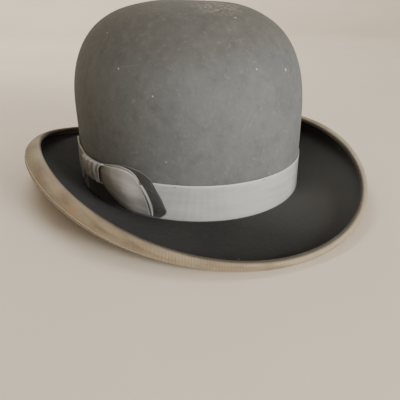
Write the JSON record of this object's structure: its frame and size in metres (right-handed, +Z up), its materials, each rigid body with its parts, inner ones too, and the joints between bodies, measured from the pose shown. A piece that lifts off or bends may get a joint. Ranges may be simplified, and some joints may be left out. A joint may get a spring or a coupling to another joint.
{
  "type": "bowler hat",
  "caption": "Stiff felt bowler hat with a rounded crown, a curled and ribbon-bound brim, a ribbon band with a flat side bow, a leather sweatband and a satin lining.",
  "frame": {"origin": "under the middle of the brim, 0.6 mm above the lowest points of the bound brim, on which the hat stands", "axes": "+Z up through the crown, -Y towards the front of the hat, +X towards the wearer's left, where the bow is"},
  "size_m": [0.2578, 0.328, 0.1368],
  "materials": {
    "felt": "faded charcoal wool felt, matt, stiffened",
    "binding_ribbon": "faded taupe grosgrain, worn pale along its edges",
    "band_ribbon": "silver-grey grosgrain, soft sheen, pale selvage lines",
    "bow_ribbon": "grey grosgrain, creased and gathered",
    "tail_ribbon": "near-black grosgrain, less faded",
    "thread": "waxed cotton thread",
    "dark_thread": "dark cotton thread",
    "leather": "tan sheepskin, satin, darkened by wear",
    "reed": "split cane",
    "oilcloth": "oiled cotton tape, low gloss",
    "tape": "cotton tape",
    "small_bow_ribbon": "narrow black ribbon, satin",
    "satin": "ivory satin, soft gloss",
    "piping": "satin-covered cord",
    "ticket": "aged plain paper, blank"
  },
  "bodies": {
    "root": {"felt_body": "felt", "brim_binding": "binding_ribbon", "binding_stitches": "thread", "hat_band": "band_ribbon", "band_tacks": "dark_thread", "bow_loop_rear": "bow_ribbon", "bow_loop_front": "bow_ribbon", "bow_tail": "tail_ribbon", "bow_knot": "bow_ribbon", "bow_tacks": "dark_thread", "sweatband": "leather", "sweatband_reed": "reed", "reed_casing": "oilcloth", "sweatband_stitches": "thread", "sweatband_joint_tape": "tape", "size_ticket": "ticket", "sweatband_bow": "small_bow_ribbon", "lining_side": "satin", "lining_tip": "satin", "lining_piping": "piping"}
  },
  "joints": []
}
